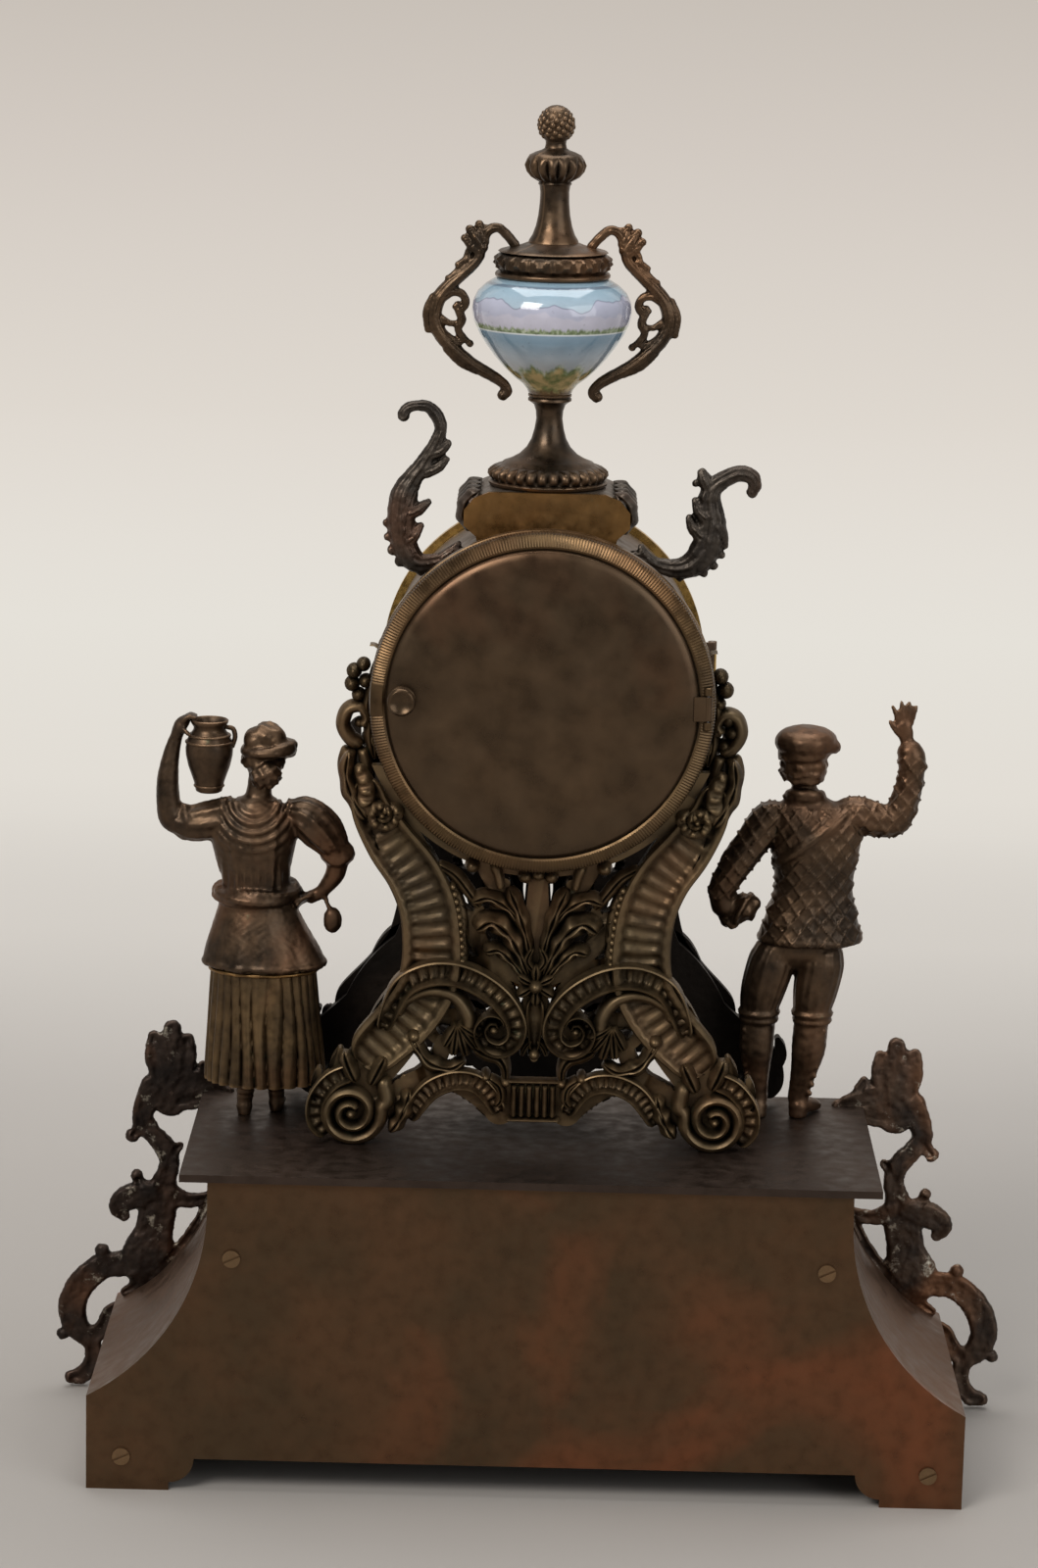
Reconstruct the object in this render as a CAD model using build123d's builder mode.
"""Figural mantel clock with a striking movement, seen and named from its back.

The clock stands on the plane z = 0. The dial faces +Y, the back faces -Y and X grows to the
right of someone who looks at the back. The origin is the bottom centre of the whole clock.
"""

import os
from math import atan2, cos, hypot, pi, radians, sin, sqrt

from build123d import *

os.makedirs("parts", exist_ok=True)

# Overall layout

plinth_rear = -60.0
plinth_front = 43.5
breakfront_front = 60.0
plinth_height = 108.5
drum_axis_height = 260.0
running_clearance = 0.05
pin_clearance = 0.04
swing_clearance = 0.3

# Shared helpers


def upright(depth):
    """Plane across the clock at one depth, seen from the back, its second axis pointing up."""
    return Plane(origin=(0, depth, 0), x_dir=(1, 0, 0), z_dir=(0, -1, 0))


def level(height):
    """Level plane at one height."""
    return Plane.XY.offset(height)


def save(builder, name):
    """Names the piece and writes it to its own file."""
    builder.part.label = name
    export_step(builder.part, "parts/" + name + ".step")


def placed(shares, unit, origin, side=1):
    """Turns (x, z, half width) shares of one length into a run of points."""
    ox, oz = origin
    return [(side * (ox + x * unit), oz + z * unit, w * unit) for x, z, w in shares]


def band(points):
    """Face of a cast member that follows a run of (x, z, half width) points, with round ends."""
    left, right = [], []
    last = len(points) - 1
    for i, (x, z, w) in enumerate(points):
        x0, z0 = points[max(i - 1, 0)][:2]
        x1, z1 = points[min(i + 1, last)][:2]
        run = hypot(x1 - x0, z1 - z0)
        nx, nz = (z0 - z1) / run, (x1 - x0) / run
        left.append((x + w * nx, z + w * nz))
        right.append((x - w * nx, z - w * nz))
    edges = Spline(*left) + Line(left[-1], right[-1]) + Spline(*right[::-1]) + Line(right[0], left[0])
    face = make_face(edges.edges()).face()
    if face.normal_at().Z < 0:
        face = -face
    face = Sketch() + face
    for x, z, w in (points[0], points[-1]):
        face += Pos(x, z) * Circle(w)
    return face


def bands(table, unit, origin, side=1):
    """Faces of all members in a table of shares."""
    return [band(placed(shares, unit, origin, side)) for shares in table]


joint_share = 1.03


def limb(points):
    """Round tapering member through (x, y, z, radius) points, added to the piece being built."""
    for (x0, y0, z0, r0), (x1, y1, z1, r1) in zip(points, points[1:]):
        length = sqrt((x1 - x0) ** 2 + (y1 - y0) ** 2 + (z1 - z0) ** 2)
        axis = Plane(origin=(x0, y0, z0), z_dir=(x1 - x0, y1 - y0, z1 - z0))
        with Locations(axis):
            if r0 == r1:
                Cylinder(r0, length, align=(Align.CENTER, Align.CENTER, Align.MIN))
            else:
                Cone(r0, r1, length, align=(Align.CENTER, Align.CENTER, Align.MIN))
    for x, y, z, r in points:
        with Locations((x, y, z)):
            Sphere(joint_share * r)


def figure_points(shares, unit, origin):
    """Turns (x, y, z, radius) shares of a figure's height into points."""
    ox, oy, oz = origin
    return [(ox + x * unit, oy + y * unit, oz + z * unit, r * unit) for x, y, z, r in shares]


def lofted(shares, unit, origin):
    """Solid through level ovals given as (x, y, z, half width, half depth) shares."""
    ox, oy, oz = origin
    with BuildPart() as body:
        for x, y, z, rx, ry in shares:
            with BuildSketch(level(oz + z * unit)):
                with Locations((ox + x * unit, oy + y * unit)):
                    Ellipse(rx * unit, ry * unit)
        loft()
    return body.part


def turned(profile_shares, unit, axis_point):
    """Solid of revolution about an upright axis from (radius, height) shares."""
    ax, ay, az = axis_point
    points = [(r * unit, z * unit) for r, z in profile_shares]
    with BuildPart() as body:
        with BuildSketch(Plane(origin=(ax, ay, az), x_dir=(1, 0, 0), z_dir=(0, -1, 0))):
            with BuildLine():
                Polyline(*points, close=True)
            make_face()
        revolve(axis=Axis((ax, ay, az), (0, 0, 1)))
    return body.part


gear_dedendum_share = 1.15
gear_addendum_share = 0.7


def gear_face(teeth, module, phase):
    """Face of a wheel with straight-sided clock teeth; phase is the angle of one tooth."""
    pitch_radius = module * teeth / 2
    pitch = 2 * pi / teeth
    root_share, tip_share = 0.23, 0.08
    root = pitch_radius - gear_dedendum_share * module
    tip = pitch_radius + gear_addendum_share * module
    points = []
    for n in range(teeth):
        centre = phase + n * pitch
        for radius, offset in ((root, -root_share), (tip, -tip_share), (tip, tip_share), (root, root_share)):
            a = centre + offset * pitch
            points.append((radius * cos(a), radius * sin(a)))
    return make_face(Polyline(*points, close=True).edges())


# Plinth

foot_span = 287.0
plate_width = 227.0
plinth_neck_width = 209.0
shoulder_height = 32.0
plate_thickness = 2.5
panel_thickness = 2.5
sheet_thickness = 1.6
neck_straight = 9.0
foot_length = 27.0
notch_height = 11.0
notch_corner_share = 0.75
plate_overhang = 2.0
breakfront_width = 120.0
screw_hole_radius = 1.6
upper_screw_x = 96.5
upper_screw_z = 80.0
lower_screw_x = 132.0
lower_screw_z = 11.5
panel_top = plinth_height - plate_thickness
flare_foot = foot_span / 2
flare_neck = plinth_neck_width / 2
flare_start = panel_top - neck_straight
flare_drop = flare_start - shoulder_height
flare_reach = flare_foot - flare_neck
flare_radius = (flare_reach**2 + flare_drop**2) / (2 * flare_reach)
flare_centre = flare_neck + flare_radius


def flare_edges(inset, top, bottom, side):
    """Side curve of the plinth from the neck down to the floor, moved in by an inset."""
    radius = flare_radius + inset
    foot_x = flare_foot - inset
    reach = flare_centre - foot_x
    drop = sqrt(radius**2 - reach**2)
    start = (side * (flare_neck - inset), top)
    bend = (side * (flare_neck - inset), flare_start)
    shoulder = (side * foot_x, flare_start - drop)
    half = (pi + pi + atan2(drop, reach)) / 2
    middle = (side * (flare_centre + radius * cos(half)), flare_start + radius * sin(half))
    return start, bend, middle, shoulder, (side * foot_x, bottom)


def panel_face(notched):
    """Outline of a plinth panel: waisted sides, two feet and a low arch between them."""
    right = flare_edges(0, panel_top, 0, 1)
    left = flare_edges(0, panel_top, 0, -1)
    inner = foot_span / 2 - foot_length
    lines = Line(right[0], right[1]) + ThreePointArc(right[1], right[2], right[3]) + Line(right[3], right[4])
    lines += Line(left[0], left[1]) + ThreePointArc(left[1], left[2], left[3]) + Line(left[3], left[4])
    lines += Line(left[0], right[0])
    if notched:
        corner = notch_height * notch_corner_share
        for side in (-1, 1):
            foot = (side * inner, 0)
            turn = (side * (inner - corner), notch_height)
            lines += Line((side * flare_foot, 0), foot)
            lines += Line(foot, (side * inner, notch_height - corner))
            lines += RadiusArc((side * inner, notch_height - corner), turn, side * corner)
        lines += Line((-inner + corner, notch_height), (inner - corner, notch_height))
    else:
        lines += Line((-flare_foot, 0), (flare_foot, 0))
    return make_face(lines.edges())


panel_outline = panel_face(True)
screw_places = [
    (side * x, z)
    for side in (-1, 1) for x, z in ((upper_screw_x, upper_screw_z), (lower_screw_x, lower_screw_z))
]

# Rear panel of the plinth, a flat plate held by four slotted screws

with BuildPart() as base_rear_panel:
    with BuildSketch(upright(plinth_rear + panel_thickness)):
        add(panel_outline)
        with Locations(*screw_places):
            Circle(screw_hole_radius, mode=Mode.SUBTRACT)
    extrude(amount=panel_thickness)
save(base_rear_panel, "base_rear_panel")

# Front of the plinth, two panels with a box of three plates standing forward between them

breakfront_opening = breakfront_width - 4 * panel_thickness

plaque_half_width = 38.0
plaque_half_height = 25.0
plaque_thickness = 2.0
plaque_rim = 2.0
plaque_centre = 56.0

with BuildPart() as base_front_panel:
    with BuildSketch(upright(plinth_front)):
        add(panel_outline)
        with Locations((0, panel_top / 2)):
            Rectangle(breakfront_opening, panel_top + panel_thickness, mode=Mode.SUBTRACT)
    extrude(amount=panel_thickness)
    with BuildSketch(Plane.XY):
        with Locations((0, (plinth_front + breakfront_front) / 2)):
            Rectangle(breakfront_width, breakfront_front - plinth_front)
        with Locations((0, (plinth_front + breakfront_front) / 2 - panel_thickness)):
            Rectangle(breakfront_opening, breakfront_front - plinth_front, mode=Mode.SUBTRACT)
    extrude(amount=panel_top)
    with BuildSketch(upright(breakfront_front)):
        with Locations((0, plaque_centre)):
            Ellipse(plaque_half_width, plaque_half_height)
    extrude(amount=panel_thickness, mode=Mode.SUBTRACT)
    with BuildSketch(upright(breakfront_front)):
        with Locations((0, notch_height / 2)):
            Rectangle(breakfront_width - foot_length, notch_height)
    extrude(amount=panel_thickness, mode=Mode.SUBTRACT)
save(base_front_panel, "base_front_panel")

# Porcelain plaque, a shallow dish that fills the oval, with a flange behind the front plate

with BuildPart() as front_plaque:
    with BuildSketch(upright(breakfront_front)):
        with Locations((0, plaque_centre)):
            Ellipse(plaque_half_width - running_clearance, plaque_half_height - running_clearance)
    extrude(amount=panel_thickness)
    with BuildSketch(upright(breakfront_front - panel_thickness)):
        with Locations((0, plaque_centre)):
            Ellipse(plaque_half_width + plaque_rim, plaque_half_height + plaque_rim)
    extrude(amount=plaque_thickness)
save(front_plaque, "front_plaque")

# Curved side sheets between the two panels

side_depth = plinth_front - plinth_rear - 2 * panel_thickness


def side_sheet(side):
    """Side sheet of one thickness that follows the waist of the plinth."""
    out = flare_edges(0, panel_top, 0, side)
    inn = flare_edges(sheet_thickness, panel_top, 0, side)
    lines = Line(out[0], out[1]) + ThreePointArc(out[1], out[2], out[3]) + Line(out[3], out[4])
    lines += Line(out[4], inn[4]) + Line(inn[4], inn[3]) + ThreePointArc(inn[3], inn[2], inn[1])
    lines += Line(inn[1], inn[0]) + Line(inn[0], out[0])
    return make_face(lines.edges())


sheet_outlines = [side_sheet(side) for side in (-1, 1)]

with BuildPart() as base_sides:
    with BuildSketch(upright(plinth_front - panel_thickness)):
        for sheet_outline in sheet_outlines:
            add(sheet_outline)
    extrude(amount=side_depth)
save(base_sides, "base_sides")

# Corner blocks inside the plinth that take the panel screws

block_size = 12.0
block_depth = 14.0
screw_hole_depth = 10.0
block_shift = 6.4

with BuildPart() as base_corner_blocks:
    with BuildSketch(upright(plinth_rear + panel_thickness + block_depth)):
        for side in (-1, 1):
            with Locations((side * (upper_screw_x - block_shift / 2), upper_screw_z)):
                Rectangle(block_size, block_size)
            with Locations((side * (lower_screw_x + block_shift / 2), lower_screw_z)):
                Rectangle(block_size, block_size)
    extrude(amount=block_depth)
    with BuildSketch(upright(plinth_rear + panel_thickness + screw_hole_depth)):
        with Locations(*screw_places):
            Circle(screw_hole_radius)
    extrude(amount=screw_hole_depth, mode=Mode.SUBTRACT)
save(base_corner_blocks, "base_corner_blocks")

# Slotted screws of the rear panel

screw_head_radius = 2.9
screw_head_height = 1.0
screw_length = 10.0
slot_width = 0.7

with BuildPart() as base_panel_screws:
    with BuildSketch(upright(plinth_rear)):
        with Locations(*screw_places):
            Circle(screw_head_radius)
    extrude(amount=screw_head_height)
    with BuildSketch(upright(plinth_rear)):
        with Locations(*screw_places):
            Circle(screw_hole_radius - running_clearance)
    extrude(amount=-screw_length)
    with BuildSketch(upright(plinth_rear - screw_head_height / 2)):
        with Locations(*screw_places):
            Rectangle(2 * screw_head_radius, slot_width, rotation=25)
    extrude(amount=screw_head_height, mode=Mode.SUBTRACT)
save(base_panel_screws, "base_panel_screws")

# Top plate of the plinth, with the middle of its front edge standing forward

stud_radius = 1.6
woman_x = -92.5
woman_y = 11.5
man_x = 90.5
man_y = 22.5
stud_aside = 4.9
stud_behind = 1.6
man_stud_aside = 14.0
waist_rear_y = -19.0
waist_front_y = 36.0
waist_stud_x = 60.0
front_stud_x = 72.0
stud_places = [(woman_x - stud_aside, woman_y - stud_behind), (man_x - man_stud_aside, man_y - stud_behind)]
stud_places += [(side * waist_stud_x, waist_rear_y) for side in (-1, 1)]
stud_places += [(side * front_stud_x, waist_front_y) for side in (-1, 1)]

with BuildPart() as base_top_plate:
    with BuildSketch(level(panel_top)):
        with Locations((0, (plinth_rear + plinth_front) / 2)):
            Rectangle(plate_width, plinth_front - plinth_rear + 2 * plate_overhang)
        with Locations((0, (plinth_front + breakfront_front) / 2)):
            Rectangle(
                breakfront_width + 2 * plate_overhang,
                breakfront_front - plinth_front + 2 * plate_overhang,
            )
        with Locations(*stud_places):
            Circle(stud_radius + pin_clearance, mode=Mode.SUBTRACT)
    extrude(amount=plate_thickness)
save(base_top_plate, "base_top_plate")

# Pierced cast mounts that hang on the side sheets near the front

mount_height = 140.0
mount_depth = 6.0
mount_plane = plinth_front - panel_thickness - 1.5
mount_shares = [
    [
        (-0.05, 0.39, 0.022), (0.02, 0.40, 0.028), (0.085, 0.36, 0.03), (0.115, 0.29, 0.03),
        (0.10, 0.21, 0.028), (0.055, 0.17, 0.03), (0.02, 0.20, 0.022),
    ],
    [(0.065, 0.17, 0.025), (0.045, 0.10, 0.035), (0.09, 0.035, 0.022), (0.12, 0.012, 0.012)],
    [
        (-0.06, 0.37, 0.035), (-0.075, 0.46, 0.045), (-0.10, 0.55, 0.05), (-0.13, 0.64, 0.035),
        (-0.145, 0.70, 0.03), (-0.10, 0.77, 0.035), (-0.115, 0.85, 0.035), (-0.15, 0.94, 0.035),
        (-0.135, 0.985, 0.012),
    ],
    [(-0.08, 0.52, 0.035), (-0.03, 0.53, 0.04), (-0.01, 0.50, 0.02)],
    [(-0.135, 0.68, 0.03), (-0.09, 0.69, 0.025), (-0.06, 0.71, 0.02)],
    [(-0.14, 0.87, 0.03), (-0.21, 0.885, 0.025), (-0.27, 0.86, 0.03), (-0.30, 0.875, 0.02)],
    [(-0.08, 0.45, 0.025), (-0.14, 0.46, 0.03), (-0.19, 0.44, 0.02)],
    [(0.01, 0.30, 0.02), (0.05, 0.27, 0.025), (0.06, 0.24, 0.02)],
]
seat_width = 5.0

for side, name in ((-1, "side_mount_left"), (1, "side_mount_right")):
    members = bands(mount_shares, mount_height, (flare_foot, 0), side)
    out = flare_edges(-seat_width, panel_top, 0, side)
    inn = flare_edges(0, panel_top, 0, side)
    lines = Line(out[1], inn[1]) + ThreePointArc(inn[1], inn[2], inn[3]) + Line(inn[3], out[3])
    lines += ThreePointArc(out[3], out[2], out[1])
    seat = make_face(lines.edges())
    plinth_silhouette = panel_face(False)
    with BuildPart() as side_mount:
        with BuildSketch(upright(mount_plane)):
            for member in members:
                add(member)
            add(seat)
            add(plinth_silhouette, mode=Mode.SUBTRACT)
            with Locations((0, panel_top + plate_thickness / 2)):
                Rectangle(plate_width, plate_thickness, mode=Mode.SUBTRACT)
        extrude(amount=mount_depth)
    save(side_mount, name)

# Drum that holds the movement, with a slot below for the pendulum and a leaf for the bezel hinge

drum_radius = 52.0
drum_wall = 1.2
drum_rear = -29.5
drum_front = 48.5
pendulum_y = -2.9
slot_half_width = 9.0
slot_length = 13.0
knuckle_pin_radius = 0.6
knuckle_half = 4.0
hinge_half = 7.0
bezel_rear = 49.0
bezel_hinge_x = 57.2
bezel_hinge_y = 50.5
bezel_knuckle_radius = 1.5
leaf_length = 12.0
leaf_thickness = 1.2

with BuildPart() as drum:
    with BuildSketch(upright(drum_front)):
        with Locations((0, drum_axis_height)):
            Circle(drum_radius)
            Circle(drum_radius - drum_wall, mode=Mode.SUBTRACT)
    extrude(amount=drum_front - drum_rear)
    with BuildSketch(level(drum_axis_height - drum_radius - drum_wall)):
        with Locations((0, pendulum_y)):
            Rectangle(2 * slot_half_width, slot_length)
    extrude(amount=drum_radius / 2, mode=Mode.SUBTRACT)
    with BuildSketch(upright(bezel_rear - swing_clearance)):
        with Locations((drum_radius, drum_axis_height)):
            Rectangle(2 * (bezel_hinge_x - drum_radius), 2 * hinge_half)
        with Locations((0, drum_axis_height)):
            Circle(drum_radius, mode=Mode.SUBTRACT)
    extrude(amount=leaf_thickness)
    with BuildSketch(upright(bezel_rear - swing_clearance)):
        with Locations((0, drum_axis_height)):
            Circle(drum_radius + leaf_thickness)
            Circle(drum_radius, mode=Mode.SUBTRACT)
        with Locations((drum_radius, drum_axis_height)):
            Rectangle(drum_radius / 2, 2 * hinge_half, mode=Mode.INTERSECT)
    extrude(amount=leaf_length)
    with Locations(Plane(origin=(bezel_hinge_x, bezel_hinge_y, drum_axis_height))):
        Cylinder(bezel_knuckle_radius, 2 * hinge_half)
        Box(
            bezel_knuckle_radius,
            bezel_hinge_y - bezel_rear + leaf_thickness,
            2 * hinge_half,
            align=(Align.CENTER, Align.MAX, Align.CENTER),
        )
        Box(
            bezel_knuckle_radius * 4, bezel_knuckle_radius * 2 + swing_clearance,
            2 * (knuckle_half + swing_clearance), mode=Mode.SUBTRACT,
        )
        Cylinder(knuckle_pin_radius + pin_clearance, 2 * hinge_half, mode=Mode.SUBTRACT)
save(drum, "drum")

# Knurled ring on the back of the drum, with a shallow seat for the door and hinge knuckles

ring_radius = 55.8
ring_rear = -33.5
ring_front = -23.5
ledge_radius = 45.5
ledge_thickness = 3.1
door_radius = 50.4
door_gap = 0.4
seat_depth = 0.8
knuckle_x = 53.2
knuckle_radius = 1.5
knurl_count = 180
knurl_depth = 0.35
knurl_width = 0.8
knurl_length = 4.5

with BuildPart() as rear_ring:
    with BuildSketch(upright(ring_front)):
        with Locations((0, drum_axis_height)):
            Circle(ring_radius)
            Circle(drum_radius, mode=Mode.SUBTRACT)
    extrude(amount=ring_front - drum_rear)
    with BuildSketch(upright(drum_rear)):
        with Locations((0, drum_axis_height)):
            Circle(ring_radius)
            Circle(ledge_radius, mode=Mode.SUBTRACT)
    extrude(amount=drum_rear - ring_rear)
    fillet(
        rear_ring.edges().filter_by(GeomType.CIRCLE).group_by(SortBy.RADIUS)[-1].sort_by(Axis.Y)[0],
        radius=door_gap * 3,
    )
    with BuildSketch(upright(ring_rear + seat_depth)):
        with Locations((0, drum_axis_height)):
            Circle(door_radius + door_gap)
    extrude(amount=seat_depth, mode=Mode.SUBTRACT)
    with Locations(Plane(origin=(knuckle_x, ring_rear, drum_axis_height))):
        Cylinder(knuckle_radius, 2 * hinge_half)
        Box(
            2 * knuckle_radius + swing_clearance * 2, 2 * knuckle_radius + swing_clearance * 2,
            2 * (knuckle_half + swing_clearance), mode=Mode.SUBTRACT,
        )
        Cylinder(knuckle_pin_radius + pin_clearance, 2 * hinge_half, mode=Mode.SUBTRACT)
    with BuildSketch(upright(ring_rear + seat_depth)):
        with Locations((knuckle_x - knuckle_radius * 2, drum_axis_height)):
            Rectangle(knuckle_radius * 4, 2 * (knuckle_half + swing_clearance))
    extrude(amount=seat_depth, mode=Mode.SUBTRACT)
    with BuildSketch(upright(ring_rear + knurl_length + seat_depth)):
        with Locations((0, drum_axis_height)):
            with PolarLocations(ring_radius, knurl_count):
                Rectangle(knurl_depth * 2, knurl_width)
    extrude(amount=knurl_length, mode=Mode.SUBTRACT)
save(rear_ring, "rear_ring")

# Rear door, a dark disc with a rounded edge and one hinge knuckle

door_rear = -35.2
door_front = ring_rear + seat_depth
door_thickness = door_front - door_rear
door_edge = 1.4
knob_x = -45.2
knob_rise = 0.9
knob_stem_radius = 1.3

with BuildPart() as rear_door:
    with BuildSketch(upright(door_front)):
        with Locations((0, drum_axis_height)):
            Circle(door_radius)
    extrude(amount=door_thickness)
    fillet(rear_door.edges().sort_by(Axis.Y)[0], radius=door_edge)
    with BuildSketch(upright(door_rear + door_edge + seat_depth)):
        with Locations(((door_radius + knuckle_x) / 2 - knuckle_radius, drum_axis_height)):
            Rectangle(knuckle_x - door_radius + knuckle_radius * 2, 2 * knuckle_half)
    extrude(amount=seat_depth)
    with Locations(Plane(origin=(knuckle_x, ring_rear, drum_axis_height))):
        Cylinder(knuckle_radius, 2 * knuckle_half)
        Cylinder(knuckle_pin_radius + pin_clearance, 2 * hinge_half, mode=Mode.SUBTRACT)
    with BuildSketch(upright(door_front)):
        with Locations((knob_x, drum_axis_height + knob_rise)):
            Circle(knob_stem_radius)
    extrude(amount=door_thickness, mode=Mode.SUBTRACT)
save(rear_door, "rear_door")

# Turned knob riveted through the door

knob_radius = 3.5
knob_neck_radius = 1.9
knob_neck_length = 2.4
knob_head_length = 3.2
knob_dish_radius = 2.2
knob_dish_depth = 0.8

with BuildPart() as door_knob:
    with BuildSketch(upright(door_rear)):
        with Locations((knob_x, drum_axis_height + knob_rise)):
            Circle(knob_neck_radius)
    extrude(amount=knob_neck_length)
    with BuildSketch(upright(door_rear - knob_neck_length)):
        with Locations((knob_x, drum_axis_height + knob_rise)):
            Circle(knob_radius)
    extrude(amount=knob_head_length)
    fillet(door_knob.edges().filter_by(GeomType.CIRCLE).group_by(SortBy.RADIUS)[-1], radius=knob_dish_depth)
    with BuildSketch(upright(door_rear - knob_neck_length - knob_head_length + knob_dish_depth)):
        with Locations((knob_x, drum_axis_height + knob_rise)):
            Circle(knob_dish_radius)
    extrude(amount=knob_dish_depth, mode=Mode.SUBTRACT)
    with BuildSketch(upright(door_rear)):
        with Locations((knob_x, drum_axis_height + knob_rise)):
            Circle(knob_stem_radius)
    extrude(amount=-door_thickness)
save(door_knob, "door_knob")

# Front bezel, a stepped gilt ring on a side hinge, and its glass

bezel_radius = 54.5
bezel_step_radius = 52.5
bezel_inner = 46.0
bezel_step = 52.5
bezel_front = 58.0
glass_radius = 48.0
glass_rear = 53.4
glass_thickness = 1.5

with BuildPart() as front_bezel:
    with BuildSketch(upright(bezel_step)):
        with Locations((0, drum_axis_height)):
            Circle(bezel_radius)
            Circle(glass_radius, mode=Mode.SUBTRACT)
    extrude(amount=bezel_step - bezel_rear)
    with BuildSketch(upright(bezel_front)):
        with Locations((0, drum_axis_height)):
            Circle(bezel_step_radius)
            Circle(bezel_inner, mode=Mode.SUBTRACT)
    extrude(amount=bezel_front - bezel_step)
    with BuildSketch(upright(glass_rear + glass_thickness)):
        with Locations((0, drum_axis_height)):
            Circle(glass_radius)
    extrude(amount=glass_rear + glass_thickness - bezel_rear, mode=Mode.SUBTRACT)
    with BuildSketch(upright(bezel_hinge_y + bezel_knuckle_radius)):
        with Locations(((bezel_radius + bezel_hinge_x) / 2, drum_axis_height)):
            Rectangle(bezel_hinge_x - bezel_radius + bezel_knuckle_radius, 2 * knuckle_half)
    extrude(amount=bezel_knuckle_radius)
    with Locations(Plane(origin=(bezel_hinge_x, bezel_hinge_y, drum_axis_height))):
        Cylinder(bezel_knuckle_radius, 2 * knuckle_half)
        Cylinder(knuckle_pin_radius + pin_clearance, 2 * hinge_half, mode=Mode.SUBTRACT)
save(front_bezel, "front_bezel")

with BuildPart() as bezel_glass:
    with BuildSketch(upright(glass_rear + glass_thickness)):
        with Locations((0, drum_axis_height)):
            Circle(glass_radius - running_clearance)
    extrude(amount=glass_thickness)
save(bezel_glass, "bezel_glass")

# Pins of the two hinges

with BuildPart() as hinge_pins:
    with Locations(Plane(origin=(knuckle_x, ring_rear, drum_axis_height))):
        Cylinder(knuckle_pin_radius, 2 * hinge_half)
    with Locations(Plane(origin=(bezel_hinge_x, bezel_hinge_y, drum_axis_height))):
        Cylinder(knuckle_pin_radius, 2 * hinge_half)
save(hinge_pins, "hinge_pins")

# Dial with holes for the hands and the two winding squares

dial_rear = 46.0
dial_thickness = 1.0
dial_radius = 50.2
hour_hole_radius = 3.2
winding_hole_radius = 2.8
barrel_x = 19.2
barrel_z = -14.0

dial_foot_radius = 1.3
dial_foot_place = 42.0
dial_foot_angles = (45, 135, -40, -140)
dial_feet_places = [
    (dial_foot_place * cos(radians(a)), drum_axis_height + dial_foot_place * sin(radians(a)))
    for a in dial_foot_angles
]
front_plate_front = 36.0

with BuildPart() as dial:
    with BuildSketch(upright(dial_rear + dial_thickness)):
        with Locations((0, drum_axis_height)):
            Circle(dial_radius)
            Circle(hour_hole_radius, mode=Mode.SUBTRACT)
        with Locations(*[(side * barrel_x, drum_axis_height + barrel_z) for side in (-1, 1)]):
            Circle(winding_hole_radius, mode=Mode.SUBTRACT)
    extrude(amount=dial_thickness)
    with BuildSketch(upright(dial_rear)):
        with Locations(*dial_feet_places):
            Circle(dial_foot_radius)
    extrude(amount=dial_rear - front_plate_front)
save(dial, "dial")

# Movement plates and the four pillars between them

movement_radius = 45.0
back_plate_rear = 4.0
plate_gauge = 2.0
front_plate_rear = front_plate_front - plate_gauge
pivot_radius = 0.6
arbor_radius = 0.85
centre_arbor_radius = 1.5
winding_arbor_radius = 2.0
pillar_radius = 2.4
pillar_place = 40.5
pillar_angles = (-70, -110, 155, 25)
centre_place = (0, drum_axis_height)
barrel_place = (-barrel_x, drum_axis_height + barrel_z)
strike_place = (barrel_x, drum_axis_height + barrel_z)
barrel_module = 0.6
barrel_teeth = 60
great_pinion_teeth = 10
wheel_module = 0.5
great_wheel_teeth = 60
centre_pinion_teeth = 10
centre_wheel_teeth = 64
third_pinion_teeth = 8
third_wheel_teeth = 56
escape_pinion_teeth = 8
third_angle = radians(99.9)
great_reach = barrel_module * (barrel_teeth + great_pinion_teeth) / 2
great_drop = wheel_module * (great_wheel_teeth + centre_pinion_teeth) / 2
third_reach = wheel_module * (centre_wheel_teeth + third_pinion_teeth) / 2
escape_reach = wheel_module * (third_wheel_teeth + escape_pinion_teeth) / 2
barrel_run = hypot(barrel_x, barrel_z)
barrel_angle = atan2(barrel_z, -barrel_x)
great_cosine = (great_drop**2 + barrel_run**2 - great_reach**2) / (2 * great_drop * barrel_run)
great_angle = barrel_angle - atan2(sqrt(1 - great_cosine**2), great_cosine)
great_place = (great_drop * cos(great_angle), drum_axis_height + great_drop * sin(great_angle))
pin_wheel_place = (-great_place[0], great_place[1])
third_place = (third_reach * cos(third_angle), drum_axis_height + third_reach * sin(third_angle))
escape_rise = sqrt(escape_reach**2 - third_place[0] ** 2)
escape_place = (0, third_place[1] + escape_rise)
anchor_rise = 41.5
anchor_place = (0, drum_axis_height + anchor_rise)
pivots = [great_place, pin_wheel_place, third_place, escape_place, anchor_place]
pillars = [
    (pillar_place * cos(radians(a)), drum_axis_height + pillar_place * sin(radians(a)))
    for a in pillar_angles
]

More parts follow.
